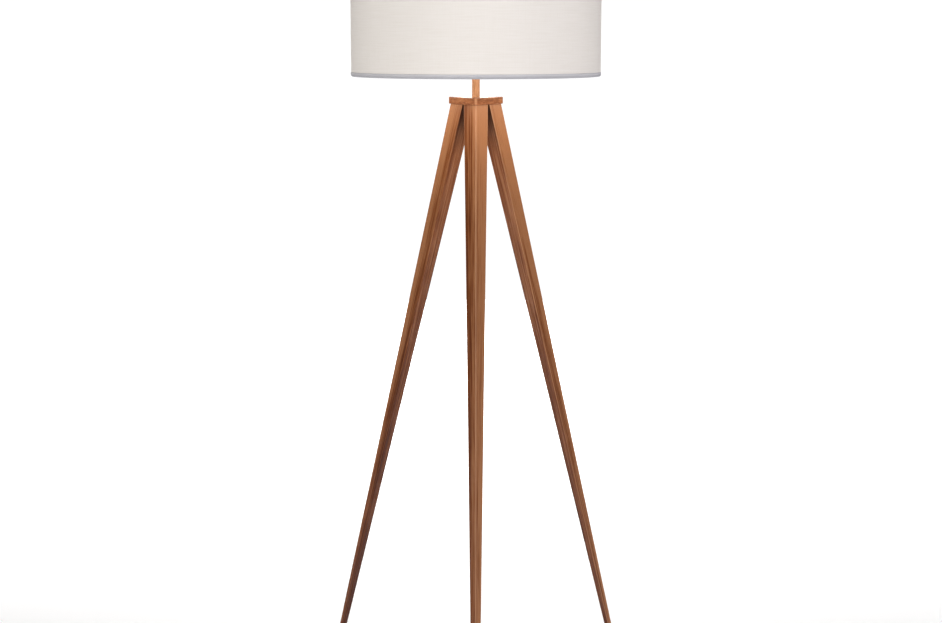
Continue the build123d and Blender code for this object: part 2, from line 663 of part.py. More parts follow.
# ---- Bulb ----
make_turned(
    "bulb_contact",
    (0, BULB_TIP),
    (TIP_R - TIP_CHAMFER, BULB_TIP),
    (TIP_R, BULB_TIP + TIP_CHAMFER),
    (TIP_R, BULB_TIP + TIP_HEIGHT),
    (0, BULB_TIP + TIP_HEIGHT),
)
make_turned(
    "bulb_insulator",
    (0, BULB_TIP + TIP_HEIGHT),
    (TIP_R, BULB_TIP + TIP_HEIGHT),
    (INSULATOR_R, BULB_TIP + TIP_HEIGHT + INSULATOR_HEIGHT),
    (INSULATOR_R, BULB_TIP + BULB_CAP_LOW + BULB_CAP_WALL),
    (0, BULB_TIP + BULB_CAP_LOW + BULB_CAP_WALL),
)
CAP_OPENING_R = INSULATOR_R + GLUE_LINE
make_turned(
    "bulb_cap",
    (CAP_OPENING_R, BULB_TIP + BULB_CAP_LOW),
    (BULB_CAP_R, BULB_TIP + BULB_CAP_LOW + BULB_CAP_R - CAP_OPENING_R),
    (BULB_CAP_R, BULB_TIP + BULB_CAP_TOP),
    (CAP_SKIN_R, BULB_TIP + BULB_CAP_TOP),
    (CAP_SKIN_R, BULB_TIP + BULB_CAP_LOW + BULB_CAP_R - CAP_OPENING_R),
    (CAP_OPENING_R, BULB_TIP + BULB_CAP_LOW + BULB_CAP_WALL),
)

with BuildPart() as bulb_housing:
    neck_r = CAP_SKIN_R - HOLE_FIT
    neck_bore_r = neck_r - HOUSING_WALL
    foot_r = BULB_CAP_R + HOUSING_STEP
    cap_top = BULB_TIP + BULB_CAP_TOP
    foot_top = cap_top + HOUSING_FOOT
    rim = BULB_TIP + HOUSING_RIM
    ledge = rim - BOARD_DEPTH
    with BuildSketch(PROFILE):
        with BuildLine():
            Polyline(
                (neck_bore_r, foot_top),
                (neck_bore_r, cap_top - HOUSING_NECK),
                (neck_r, cap_top - HOUSING_NECK),
                (neck_r, cap_top),
                (foot_r, cap_top),
                (foot_r, foot_top),
            )
            Spline((foot_r, foot_top), (RIM_R, rim), tangents=((0, 1), (0, 1)))
            Polyline(
                (RIM_R, rim),
                (RIM_BORE_R, rim),
                (RIM_BORE_R, ledge),
                (RIM_BORE_R - BOARD_LEDGE, ledge),
            )
            Spline((RIM_BORE_R - BOARD_LEDGE, ledge), (neck_bore_r, foot_top), tangents=((0, -1), (0, -1)))
        make_face()
    revolve(axis=POLE_AXIS)
write(bulb_housing, "bulb_housing")

BOARD_LOW = BULB_TIP + HOUSING_RIM - BOARD_DEPTH
with BuildPart() as bulb_board:
    with BuildSketch(FLOOR.offset(BOARD_LOW)):
        Circle(RIM_BORE_R - GLUE_LINE)
    extrude(amount=BOARD_THICKNESS)
write(bulb_board, "bulb_board")

with BuildPart() as bulb_globe:
    rim = BULB_TIP + HOUSING_RIM
    ledge = rim + BULB_WALL
    middle = BULB_TIP + BULB_LENGTH - BULB_R
    inner_r = BULB_R - BULB_WALL
    slant = sqrt(0.5)
    spigot_r = RIM_BORE_R - GLUE_LINE
    ledge_r = sqrt(inner_r**2 - (middle - ledge) ** 2)
    with BuildSketch(PROFILE):
        with BuildLine():
            ThreePointArc(
                (RIM_R, rim), (BULB_R * slant, middle + BULB_R * slant), (0, middle + BULB_R)
            )
            Line((0, middle + BULB_R), (0, middle + inner_r))
            ThreePointArc(
                (0, middle + inner_r), (inner_r * slant, middle + inner_r * slant), (ledge_r, ledge)
            )
            Polyline(
                (ledge_r, ledge),
                (spigot_r - BULB_WALL, ledge),
                (spigot_r - BULB_WALL, rim - GLOBE_SPIGOT),
                (spigot_r, rim - GLOBE_SPIGOT),
                (spigot_r, rim),
                (RIM_R, rim),
            )
        make_face()
    revolve(axis=POLE_AXIS)
write(bulb_globe, "bulb_globe")

print("pole axis y", round(AXIS_Y, 3), "height", SHADE_TOP, "shade's lower rim", SHADE_LOW)
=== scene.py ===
# %% [markdown]
# # A tripod floor lamp with a drum shade
# Three tapered wooden legs lean in to a small triangular plate. A short wooden pole rises
# from the plate to a lampholder, and a linen drum shade hangs round the bulb.
# The hard pieces are already modelled as solids, so this lesson loads them, gives each one
# a finish made of shader nodes, and adds what a solid can't show well: woven cloth, rolled
# hems, screw threads and weld beads. Everything is in metres, with the floor at z = 0.

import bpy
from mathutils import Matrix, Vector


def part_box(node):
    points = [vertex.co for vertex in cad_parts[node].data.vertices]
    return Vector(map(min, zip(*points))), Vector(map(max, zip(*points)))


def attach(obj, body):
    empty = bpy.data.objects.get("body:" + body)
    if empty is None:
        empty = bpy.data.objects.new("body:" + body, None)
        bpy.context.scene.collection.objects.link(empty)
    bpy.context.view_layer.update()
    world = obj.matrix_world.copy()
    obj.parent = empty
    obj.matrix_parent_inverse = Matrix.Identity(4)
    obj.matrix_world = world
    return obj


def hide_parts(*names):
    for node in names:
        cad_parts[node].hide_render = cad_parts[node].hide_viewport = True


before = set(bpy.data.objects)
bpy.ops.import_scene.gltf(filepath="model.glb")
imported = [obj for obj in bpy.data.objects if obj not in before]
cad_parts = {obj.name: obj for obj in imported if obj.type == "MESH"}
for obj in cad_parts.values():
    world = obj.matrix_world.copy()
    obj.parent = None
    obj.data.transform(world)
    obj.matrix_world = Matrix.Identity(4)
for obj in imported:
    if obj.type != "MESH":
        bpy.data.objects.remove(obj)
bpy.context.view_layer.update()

# %% [markdown]
# ## Tools and places
# Numpy works out whole surfaces at once, which is quicker than visiting each point.
# Most of the lamp is round its pole, so the pole's axis is measured once from the
# pole's own box, and every new piece is placed from it.

# %% Find the pole's axis
from math import radians

import bmesh
import bpy
import numpy as np
from mathutils import Vector

pole_low, pole_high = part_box("pole_sleeve")
AXIS = np.array([(pole_low.x + pole_high.x) / 2, (pole_low.y + pole_high.y) / 2, 0.0])
MM = 0.001
print("pole's axis", AXIS.round(4), "pole from", round(pole_low.z, 4), "to", round(pole_high.z, 4))


def solid_points(name):
    """The corner points of one solid piece, in an array of rows, measured from the pole's axis."""
    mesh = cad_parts[name].data
    points = np.empty(len(mesh.vertices) * 3, np.float32)
    mesh.vertices.foreach_get("co", points)
    return points.reshape(-1, 3) - AXIS


# %% [markdown]
# ## A surface from a grid
# A sheet of points in rows and columns becomes a mesh when each four neighbours share a
# face. The grid can close on itself round the columns, as a tube does. Its UV map holds
# real lengths along the surface, so that threads keep their size wherever the cloth goes.


# %% A grid of points becomes a mesh
MERGE_DISTANCE = 1e-6


def surface(name, points, closed=False, uv=None, body=None):
    """Makes a mesh from points[row, column]. Face (r, c) joins (r, c), (r, c+1), (r+1, c+1) and (r+1, c)."""
    rows, columns = points.shape[:2]
    across = columns if closed else columns - 1
    row, column = np.meshgrid(np.arange(rows - 1), np.arange(across), indexing="ij")
    following = (column + 1) % columns
    corners = np.stack(
        [row * columns + column, row * columns + following,
         (row + 1) * columns + following, (row + 1) * columns + column], axis=-1)
    mesh = bpy.data.meshes.new(name)
    mesh.from_pydata(points.reshape(-1, 3), [], corners.reshape(-1, 4))
    if uv is not None:
        layer = mesh.uv_layers.new(name="cloth")
        corner_uv = np.stack(
            [uv[row, column], uv[row, column + 1], uv[row + 1, column + 1], uv[row + 1, column]], axis=2)
        layer.data.foreach_set("uv", corner_uv.reshape(-1).astype(np.float32))
    mesh.polygons.foreach_set("use_smooth", np.ones(len(mesh.polygons), bool))
    mesh.update()
    piece = bpy.data.objects.new(name, mesh)
    bpy.context.scene.collection.objects.link(piece)
    if body:
        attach(piece, body)
    print(name, "points", rows * columns, "faces", len(mesh.polygons))
    return piece


def close_up(piece):
    """Merges points that coincide, as all those of a pole do, and then turns every face outward."""
    shell = bmesh.new()
    shell.from_mesh(piece.data)
    bmesh.ops.remove_doubles(shell, verts=shell.verts, dist=MERGE_DISTANCE)
    bmesh.ops.recalc_face_normals(shell, faces=shell.faces)
    shell.to_mesh(piece.data)
    shell.free()


def turned(radius, angle, level):
    """Points at (radius cos angle, radius sin angle, level), round the pole's axis."""
    radius, angle, level = np.broadcast_arrays(radius, angle, level)
    return AXIS + np.stack([radius * np.cos(angle), radius * np.sin(angle), level], axis=-1)


def smooth_step(low, high, value):
    """0 at low and before it, 1 at high and past it, and 3t^2 - 2t^3 between them. High may be the smaller one."""
    t = np.clip((value - low) / (high - low), 0, 1)
    return t * t * (3 - 2 * t)


# %% [markdown]
# ## Shader nodes in plain words
# A finish is a small network: coordinates feed textures, textures feed colour, roughness
# and bump. These helpers add one node each, so that the finishes below read like recipes.
# A number that is the same all over is set on the shader itself, where any program that
# opens the model can find it.


# %% Helpers for shader nodes
def display(red, green, blue):
    """A colour as picked on a screen, 0 to 255, as the light it stands for: ((c/255 + 0.055) / 1.055) ^ 2.4."""
    return tuple(((c / 255 + 0.055) / 1.055) ** 2.4 for c in (red, green, blue))


def start_finish(name, roughness, **on_shader):
    """A material with one shader, and the values that are the same all over it."""
    material = bpy.data.materials.new(name)
    material.use_nodes = True
    shader = material.node_tree.nodes["Principled BSDF"]
    shader.inputs["Roughness"].default_value = roughness
    for socket, value in on_shader.items():
        shader.inputs[socket.replace("_", " ")].default_value = value
    return material, material.node_tree, shader


def add(tree, kind, inputs, **settings):
    """Adds a node, with each input either joined to another node's output or set to a value."""
    made = tree.nodes.new(kind)
    for key, value in settings.items():
        setattr(made, key, value)
    for socket, value in inputs.items():
        if isinstance(value, bpy.types.NodeSocket):
            tree.links.new(value, made.inputs[socket])
        else:
            made.inputs[socket].default_value = value
    return made


def sum_up(tree, operation, *values):
    """One Math node: ADD, MULTIPLY, SUBTRACT, SINE and so on."""
    return add(tree, "ShaderNodeMath", dict(enumerate(values)), operation=operation).outputs[0]


def stretched(tree, place, scale):
    """The place with each axis multiplied by its own scale, so that a texture on it is stretched."""
    return add(tree, "ShaderNodeVectorMath", {0: place, 1: scale}, operation="MULTIPLY").outputs[0]


def noise(tree, place, scale, detail=2.0, roughness=0.5, seed=0.0):
    """Smooth noise about 0.5, with features 1/scale apart, different for each seed."""
    settings = {"Vector": place, "Scale": scale, "Detail": detail, "Roughness": roughness, "W": seed}
    return add(tree, "ShaderNodeTexNoise", settings, noise_dimensions="4D").outputs["Fac"]


def fade(tree, value, low, high, to_low=0.0, to_high=1.0):
    """Carries low..high to to_low..to_high along a smooth S curve."""
    settings = {0: value, 1: low, 2: high, 3: to_low, 4: to_high}
    return add(tree, "ShaderNodeMapRange", settings, interpolation_type="SMOOTHSTEP").outputs[0]


def colours(tree, factor, *stops):
    """A colour ramp through (position, colour) stops."""
    ramp = add(tree, "ShaderNodeValToRGB", {0: factor})
    band = ramp.color_ramp
    while len(band.elements) < len(stops):
        band.elements.new(0.5)
    for element, (position, colour) in zip(band.elements, stops):
        element.position, element.color = position, (*colour, 1)
    return ramp.outputs["Color"]


def mix_colour(tree, factor, first, second):
    """One colour laid over another by a factor."""
    mixer = add(tree, "ShaderNodeMix", {}, data_type="RGBA")
    for socket, value in ((0, factor), (6, first), (7, second)):
        if isinstance(value, bpy.types.NodeSocket):
            tree.links.new(value, mixer.inputs[socket])
        else:
            mixer.inputs[socket].default_value = value if socket == 0 else (*value, 1)
    return mixer.outputs[2]


def raise_surface(tree, shader, height, depth):
    """Bump: the surface looks as if it stood up by depth metres where height is 1."""
    bump = add(tree, "ShaderNodeBump", {"Height": height, "Distance": depth, "Strength": 1.0})
    tree.links.new(bump.outputs["Normal"], shader.inputs["Normal"])


def dress(finish, *names):
    """Gives a finish to solid pieces, in the material slots that they already have."""
    for name in names:
        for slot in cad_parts[name].material_slots:
            slot.material = finish
    print(finish.name, "on", ", ".join(names))


# %% [markdown]
# ## Wood
# Straight-grained wood is long fibres with darker bands where each year's growth ends, and
# fine pores that catch dust and oil. Noise that is squeezed along the grain gives all three:
# broad bands, narrow streaks and short dark dashes. It is worked out in solid space, so the
# grain runs through the piece and meets at the edges, as it does in a cut board.


# %% The grain of any board
BAND_SHARE = 0.3
TONE_FROM, TONE_TO = 0.3, 0.7
PORE_FROM, PORE_TO = 0.56, 0.78
PORE_DEPTH = 0.6


def grain(tree, place, seed, band, streak, pore):
    """Returns (tone, pores): tone is 0 in late wood and 1 in early wood, pores is 1 in a pore.

    Tone = broad bands by their share plus narrow streaks by the rest, with the contrast raised about the middle.
    place has the grain along its squeezed axis; band, streak and pore are how many fit in a metre.
    """
    bands = noise(tree, place, band, 1.5, 0.5, seed)
    streaks = noise(tree, place, streak, 3.0, 0.6, seed + 7)
    dashes = noise(tree, place, pore, 2.0, 0.6, seed + 13)
    both = sum_up(tree, "MULTIPLY_ADD", bands, BAND_SHARE, sum_up(tree, "MULTIPLY", streaks, 1 - BAND_SHARE))
    tone = fade(tree, both, TONE_FROM, TONE_TO)
    pores = fade(tree, dashes, PORE_FROM, PORE_TO)
    return tone, pores


def object_place(tree, turn=0.0):
    """Where a point is in the lamp's own space, measured from the pole's axis and turned about it."""
    place = add(tree, "ShaderNodeTexCoord", {}).outputs["Object"]
    settings = {"Vector": place, "Location": tuple(AXIS), "Rotation": (0, 0, turn)}
    return add(tree, "ShaderNodeMapping", settings, vector_type="TEXTURE").outputs[0]


# %% [markdown]
# ### Legs
# Each leg is sawn from one board and tapers from the plate to the floor, with the grain
# running its whole length. A leg leans, so its finish follows it: the height is used to find
# the middle of the leg, and the grain is measured from that middle. The long edges on the two
# outer sides are painted paler than the faces, partly for wear from handling and sanding and
# partly as a painted highlight, and the distance from the middle finds them. The inner side
# gets no pale edges. Painted shade darkens it near the plate, where the legs crowd together.

# %% Measure how the legs lean and taper
LEG_BEARINGS = {"leg_front": -90, "leg_right": 30, "leg_left": 150}
EDGE_ROUNDING = 1.2 * MM


def leg_line(name, bearing):
    """How far out the middle of a leg's section is at z = 0, and how much further in a metre of height.

    Then the side of the section at z = 0, and how much it grows in a metre. The section is an equal-sided triangle,
    whose height is side sqrt(3) / 2 and whose middle is a third of the height from the inner side.
    """
    points = solid_points(name)
    outward = points[:, 0] * np.cos(radians(bearing)) + points[:, 1] * np.sin(radians(bearing))
    low, high = points[:, 2].min(), points[:, 2].max()
    measured = []
    for level in (low, high):
        ring = outward[abs(points[:, 2] - level) < MM]
        height = ring.max() + EDGE_ROUNDING - ring.min()
        measured.append((ring.min() + height / 3, height * 2 / np.sqrt(3)))
    (middle_low, side_low), (middle_high, side_high) = measured
    lean = (middle_high - middle_low) / (high - low)
    taper = (side_high - side_low) / (high - low)
    return middle_low - lean * low, lean, side_low - taper * low, taper


# %% The legs' finish
WOOD_SHINE = {"IOR": 1.47, "Specular_IOR_Level": 0.1}
LEG_SQUEEZE = 0.022
LEG_SCALES = (95.0, 400.0, 1500.0)
LEG_ROUGHNESS = 0.5
LATE_WOOD_ROUGHNESS, EARLY_WOOD_ROUGHNESS = 0.56, 0.43
LEG_PORE_WEIGHT = 0.45
LEG_GRAIN_DEPTH = 0.12 * MM
# How near a corner a long edge starts and finishes paling, for wear and as a painted highlight.
PALE_EDGE_FROM, PALE_EDGE_FULL = 3.6 * MM, 1.5 * MM
SKIN_NEAR, SKIN_FAR = 0.1 * MM, 0.9 * MM
# Painted shade on each leg's inner side just under the plate: how far down it reaches, how strong it is and how dark
# it is.
UNDER_PLATE_SHADE_FROM, UNDER_PLATE_SHADE_FULL = 0.13, 0.02
UNDER_PLATE_SHADE_WEIGHT, UNDER_PLATE_SHADE_TONE = 0.8, 0.4


def leg_finish(name, bearing, seed, drift, wear_and_highlight, dark, middle_tone, light, pale):
    """Grain along one leaning leg, paler at its long edges by up to wear_and_highlight, with painted shade under the
    plate.

    drift is how much paler the board is painted outward, to its left-hand side and upward, each from one face or end
    to the other, and then how much paler it is all over. Paler outward and upward is partly the board's own tone and
    partly painted light: shade between the legs on their inner sides, and light from the drum on their tops.
    A point's edge is painted pale, partly for wear and partly as a painted highlight, where its reach from the
    leg's middle comes near that of a sharp corner, side / sqrt(3). It is on the inner side, which gets painted shade
    near the plate and no pale edge, where it is less than a skin off the plane that lies side / (2 sqrt(3)) inward
    of the middle.
    """
    paler_outward, left_side, upward, all_over = drift
    middle, lean, side, taper = (float(v) for v in leg_line(name, bearing))
    material, tree, shader = start_finish(name + "_wood", LEG_ROUGHNESS, **WOOD_SHINE)
    place = object_place(tree, radians(bearing))
    parts = add(tree, "ShaderNodeSeparateXYZ", {0: place})
    centre = sum_up(tree, "MULTIPLY_ADD", parts.outputs["Z"], lean, middle)
    off = sum_up(tree, "SUBTRACT", parts.outputs["X"], centre)
    section = add(tree, "ShaderNodeCombineXYZ", {"X": off, "Y": parts.outputs["Y"], "Z": 0.0}).outputs[0]
    along = sum_up(tree, "MULTIPLY", parts.outputs["Z"], LEG_SQUEEZE)
    board = add(tree, "ShaderNodeCombineXYZ", {"X": off, "Y": parts.outputs["Y"], "Z": along}).outputs[0]
    tone, pores = grain(tree, board, seed, *LEG_SCALES)
    size = sum_up(tree, "MULTIPLY_ADD", parts.outputs["Z"], taper, side)
    # Paler outward and upward: partly the board's tone, partly painted shade on the inner side and painted light on
    # the top.
    outward = sum_up(tree, "MULTIPLY_ADD", sum_up(tree, "DIVIDE", off, size), paler_outward, all_over)
    sideways = sum_up(tree, "MULTIPLY_ADD", sum_up(tree, "DIVIDE", parts.outputs["Y"], size), left_side, outward)
    drifted = sum_up(tree, "MULTIPLY_ADD", parts.outputs["Z"], upward / float(pole_low.z), sideways)
    shade_of_board = sum_up(tree, "ADD", tone, drifted)
    wood = colours(tree, shade_of_board, (0.0, dark), (0.5, middle_tone), (1.0, light))
    wood = mix_colour(tree, sum_up(tree, "MULTIPLY", pores, LEG_PORE_WEIGHT), wood, dark)
    # Outer long edges mixed towards pale: partly wear, partly a painted highlight.
    corner = sum_up(tree, "MULTIPLY", size, 3 ** -0.5)
    reach = add(tree, "ShaderNodeVectorMath", {0: section}, operation="LENGTH").outputs["Value"]
    gap = sum_up(tree, "SUBTRACT", corner, reach)
    off_the_back = sum_up(tree, "MULTIPLY_ADD", corner, 0.5, off)
    outer_side = fade(tree, off_the_back, SKIN_NEAR, SKIN_FAR, 0.0, wear_and_highlight)
    worn_and_lit = sum_up(tree, "MULTIPLY", fade(tree, gap, PALE_EDGE_FROM, PALE_EDGE_FULL), outer_side)
    wood = mix_colour(tree, worn_and_lit, wood, pale)
    # Painted shade: the inner side darkens near the plate, where the legs crowd under it.
    plate_level = float(pole_low.z)
    near_plate = fade(tree, parts.outputs["Z"], plate_level - UNDER_PLATE_SHADE_FROM, plate_level - UNDER_PLATE_SHADE_FULL)
    inner_side = fade(tree, off_the_back, SKIN_FAR, SKIN_NEAR, 0.0, UNDER_PLATE_SHADE_WEIGHT)
    painted_shade_under_plate = sum_up(tree, "MULTIPLY", near_plate, inner_side)
    wood = mix_colour(tree, painted_shade_under_plate, wood, tuple(channel * UNDER_PLATE_SHADE_TONE for channel in dark))
    tree.links.new(wood, shader.inputs["Base Color"])
    roughness = fade(tree, tone, 0.0, 1.0, LATE_WOOD_ROUGHNESS, EARLY_WOOD_ROUGHNESS)
    tree.links.new(roughness, shader.inputs["Roughness"])
    height = sum_up(tree, "MULTIPLY_ADD", pores, -PORE_DEPTH, tone)
    raise_surface(tree, shader, height, LEG_GRAIN_DEPTH)
    return material


# %% Each leg's board
LEG_DARK = display(72, 28, 5)
LEG_MIDDLE = display(119, 64, 29)
LEG_LIGHT = display(164, 110, 73)
LEG_PALE = display(188, 142, 110)
# Each board's drift. Paler outward and upward is partly painted light: shade between the legs, light from the drum.
LEG_DRIFTS = {"leg_front": (0.2, 0.95, 0.35, 0.05), "leg_right": (0.9, -0.2, 0.5, -0.04),
              "leg_left": (0.7, -0.1, 1.05, -0.48)}
# How pale each leg's outer edges get, for wear and as a painted highlight.
LEG_WEAR_AND_HIGHLIGHT = {"leg_front": 0.5, "leg_right": 0.5, "leg_left": 0.15}
for seed, (leg, bearing) in enumerate(LEG_BEARINGS.items()):
    dress(leg_finish(leg, bearing, 3.1 * seed, LEG_DRIFTS[leg], LEG_WEAR_AND_HIGHLIGHT[leg],
                     LEG_DARK, LEG_MIDDLE, LEG_LIGHT, LEG_PALE), leg)

# %% [markdown]
# ### Plate, pole and dowels
# The plate is a flat-sawn board: its growth layers lie flat, so its edges show fine level
# lines and its top shows broad figure, and its corners are painted a little pale, partly for
# wear and partly as a painted highlight. The pole is a paler wood, turned with the grain
# upright. The dowels are raw and are hidden once the lamp is together.


# %% Finishes for the plate, the pole and the dowels
BOARD_ROUGHNESS_SWING = 0.06
BOARD_PORE_WEIGHT = 0.4
BOARD_GRAIN_DEPTH = 0.1 * MM
# Where and how strongly the plate's corners are painted pale, for wear and as a painted highlight.
CORNER_PALE_FROM, CORNER_PALE_FULL = 2.4 * MM, 0.2 * MM
CORNER_WEAR_AND_HIGHLIGHT = 0.4


def board_finish(name, squeeze, seed, scales, dark, middle_tone, light, roughness, corner_reach=None):
    """Grain along whichever axis of the lamp has the smallest squeeze, paler where it is corner_reach out, for wear
    and as a painted highlight.
    """
    material, tree, shader = start_finish(name, roughness, **WOOD_SHINE)
    board = stretched(tree, object_place(tree), squeeze)
    tone, pores = grain(tree, board, seed, *scales)
    wood = colours(tree, tone, (0.0, dark), (0.5, middle_tone), (1.0, light))
    wood = mix_colour(tree, sum_up(tree, "MULTIPLY", pores, BOARD_PORE_WEIGHT), wood, dark)
    # Corners mixed towards pale: partly wear, partly a painted highlight.
    if corner_reach:
        flat = stretched(tree, object_place(tree), (1.0, 1.0, 0.0))
        reach = add(tree, "ShaderNodeVectorMath", {0: flat}, operation="LENGTH").outputs["Value"]
        worn_and_lit = fade(tree, reach, corner_reach - CORNER_PALE_FROM, corner_reach - CORNER_PALE_FULL, 0.0, CORNER_WEAR_AND_HIGHLIGHT)
        wood = mix_colour(tree, worn_and_lit, wood, LEG_PALE)
    tree.links.new(wood, shader.inputs["Base Color"])
    late_wood, early_wood = roughness + BOARD_ROUGHNESS_SWING, roughness - BOARD_ROUGHNESS_SWING
    tree.links.new(fade(tree, tone, 0.0, 1.0, late_wood, early_wood), shader.inputs["Roughness"])
    raise_surface(tree, shader, sum_up(tree, "MULTIPLY_ADD", pores, -PORE_DEPTH, tone), BOARD_GRAIN_DEPTH)
    return material


# %% Dress the plate, the pole and the dowels
PLATE_REACH = float(np.hypot(*solid_points("hub_plate")[:, :2].T).max())
print("plate's corners are", round(PLATE_REACH / MM, 2), "mm from the axis")
dress(board_finish("plate_wood", (0.03, 0.2, 1.0), 21.0, (140.0, 420.0, 1500.0),
                   display(102, 52, 23), display(137, 80, 43), display(166, 107, 66), 0.4, PLATE_REACH), "hub_plate")
dress(board_finish("pole_wood", (1.0, 1.0, 0.06), 33.0, (170.0, 600.0, 1700.0),
                   display(148, 99, 64), display(181, 129, 91), display(199, 147, 110), 0.42), "pole_sleeve")
dress(board_finish("dowel_wood", (1.0, 1.0, 0.05), 41.0, (300.0, 900.0, 2200.0),
                   display(178, 140, 96), display(205, 170, 124), display(222, 192, 150), 0.7), "leg_dowels")

# %% [markdown]
# ## Metal, plastic, rubber and glass
# Real plated steel is never one even grey: it has a faint cloudy bloom and fine scratches.
# Moulded plastic has a slight pebble from its mould, and rubber a coarser, duller one.
# One recipe with three dials covers them all: how cloudy, how scratched and how pebbled.


# %% One recipe for the hard pieces
BLOOM_PER_METRE = 60.0
FINE_SHARE = 0.35


def plain_finish(name, colour, roughness, cloud, pebble, grain_per_metre, squeeze=(1, 1, 1), **on_shader):
    """Colour times 1 - cloud to 1 + cloud by slow noise, rougher where it is cloudy, pebbled by fine noise.

    pebble is how high the pebbles stand in millimetres; a squeeze below 1 draws them out into scratches.
    """
    material, tree, shader = start_finish(name, roughness, **on_shader)
    place = object_place(tree)
    bloom = noise(tree, place, BLOOM_PER_METRE, 3.0, 0.6)
    fine = noise(tree, stretched(tree, place, squeeze), grain_per_metre, 2.0, 0.5, 5.0)
    mixed = sum_up(tree, "MULTIPLY_ADD", fine, FINE_SHARE, sum_up(tree, "MULTIPLY", bloom, 1 - FINE_SHARE))
    shown = colours(tree, mixed, (0.3, tuple(c * (1 - cloud) for c in colour)),
                    (0.7, tuple(min(1.0, c * (1 + cloud)) for c in colour)))
    tree.links.new(shown, shader.inputs["Base Color"])
    tree.links.new(fade(tree, bloom, 0.3, 0.7, roughness - 0.05, roughness + 0.07), shader.inputs["Roughness"])
    raise_surface(tree, shader, fine, pebble * MM)
    return material


# %% Metals
zinc = plain_finish("zinc_steel", display(160, 160, 157), 0.32, 0.12, 0.006, 1400.0, (1, 1, 0.1), Metallic=1.0)
dress(zinc, "leg_screws", "rod_washer", "rod_lock_washer", "rod_nut", "holder_grub_screw", "terminal_screws",
      "switch_shaft")
brass = plain_finish("brass", display(206, 168, 96), 0.28, 0.1, 0.006, 1400.0, (1, 1, 0.1), Metallic=1.0)
dress(brass, "leg_inserts", "centre_contact", "bulb_contact")
white_steel = plain_finish("white_steel", display(238, 237, 233), 0.38, 0.02, 0.02, 700.0)
dress(white_steel, "shade_wire_bottom", "shade_wire_top", "fitter_ring", "fitter_arms")

# %% Plastics, ceramic, rubber and glass
white_moulding = plain_finish("white_moulding", display(236, 234, 228), 0.34, 0.02, 0.012, 1100.0, IOR=1.5)
dress(white_moulding, "holder_cap", "shade_ring", "switch_knob", "bulb_housing")
dress(plain_finish("black_moulding", display(44, 44, 45), 0.55, 0.15, 0.02, 1100.0), "switch_body", "cord_bushing")
dress(plain_finish("ceramic", display(234, 232, 224), 0.18, 0.03, 0.01, 500.0, Coat_Weight=0.5), "holder_core")
dress(plain_finish("foot_rubber", display(52, 49, 46), 0.8, 0.2, 0.05, 900.0), "foot_pad_front",
      "foot_pad_right", "foot_pad_left")
dress(plain_finish("board_white", display(226, 228, 222), 0.4, 0.02, 0.01, 1500.0), "bulb_board")
dress(plain_finish("bulb_glass", display(30, 30, 34), 0.12, 0.2, 0.004, 700.0), "bulb_insulator")
dress(plain_finish("milky_globe", display(246, 244, 236), 0.22, 0.01, 0.004, 600.0, IOR=1.5,
                   Subsurface_Weight=0.3, Subsurface_Scale=0.004), "bulb_globe")
dress(plain_finish("liner_film", display(244, 242, 236), 0.36, 0.012, 0.015, 260.0, (1, 1, 0.4),
                   Subsurface_Weight=0.15, Subsurface_Scale=0.002), "shade_liner")

# %% [markdown]
# ## Screw threads drawn with bump
# The hollow rod and the lampholder's skirt are threaded. Their threads are shallow and the
# pieces have to stay slim, so they are drawn in the finish: the height plus the angle round
# the pole gives a slope that winds round, and a sine of it is a thread.


# %% A thread in the finish
def threaded_finish(name, colour, roughness, pitch, depth, **on_shader):
    """Thread height = sine of 2 pi (z / pitch - angle / 2 pi). The colour is painted darker in the grooves, as
    shade.
    """
    material, tree, shader = start_finish(name, roughness, **on_shader)
    place = object_place(tree)
    parts = add(tree, "ShaderNodeSeparateXYZ", {0: place})
    angle = sum_up(tree, "ARCTAN2", parts.outputs["Y"], parts.outputs["X"])
    phase = sum_up(tree, "SUBTRACT", sum_up(tree, "MULTIPLY", parts.outputs["Z"], 2 * np.pi / pitch), angle)
    thread = sum_up(tree, "MULTIPLY_ADD", sum_up(tree, "SINE", phase), 0.5, 0.5)
    fine = noise(tree, place, 900.0, 2.0)
    # Painted shade: the grooves of the thread are coloured darker than its crests.
    shown = colours(tree, sum_up(tree, "MULTIPLY_ADD", thread, 0.7, sum_up(tree, "MULTIPLY", fine, 0.3)),
                    (0.1, tuple(c * 0.86 for c in colour)), (0.9, colour))
    tree.links.new(shown, shader.inputs["Base Color"])
    tree.links.new(fade(tree, fine, 0.3, 0.7, roughness - 0.04, roughness + 0.06), shader.inputs["Roughness"])
    raise_surface(tree, shader, thread, depth)
    return material


dress(threaded_finish("rod_thread", display(190, 190, 186), 0.32, 1.0 * MM, 0.5 * MM, Metallic=1.0), "threaded_rod")
dress(threaded_finish("skirt_thread", display(236, 234, 228), 0.34, 2.5 * MM, 0.7 * MM), "holder_skirt")

# %% [markdown]
# ## The bulb's screw cap and the shell it turns in
# The cap and the shell are thin metal, rolled into the same long wave. The solid model has
# them as plain tubes, so here each is a surface of radius against height and angle: a wave
# that climbs one pitch in a turn and fades out at both ends.

# %% Rolled threads
THREAD_PITCH = 3.6 * MM
AROUND = np.linspace(0, 2 * np.pi, 120, endpoint=False)
WALL_ROWS = 150
LIP_ROWS = 8


def rolled(radius, depth, low, high, start, stop):
    """Radius = radius - depth (1 - cos 2 pi (z / pitch - angle / 2 pi)) / 2 from start to stop, and plain beyond."""
    angle, level = np.meshgrid(AROUND, np.linspace(low, high, WALL_ROWS))
    wave = (1 - np.cos(2 * np.pi * level / THREAD_PITCH - angle)) / 2
    inside = smooth_step(start, start + THREAD_PITCH, level) * (1 - smooth_step(stop - THREAD_PITCH, stop, level))
    return turned(radius - depth * wave * inside, angle, level)


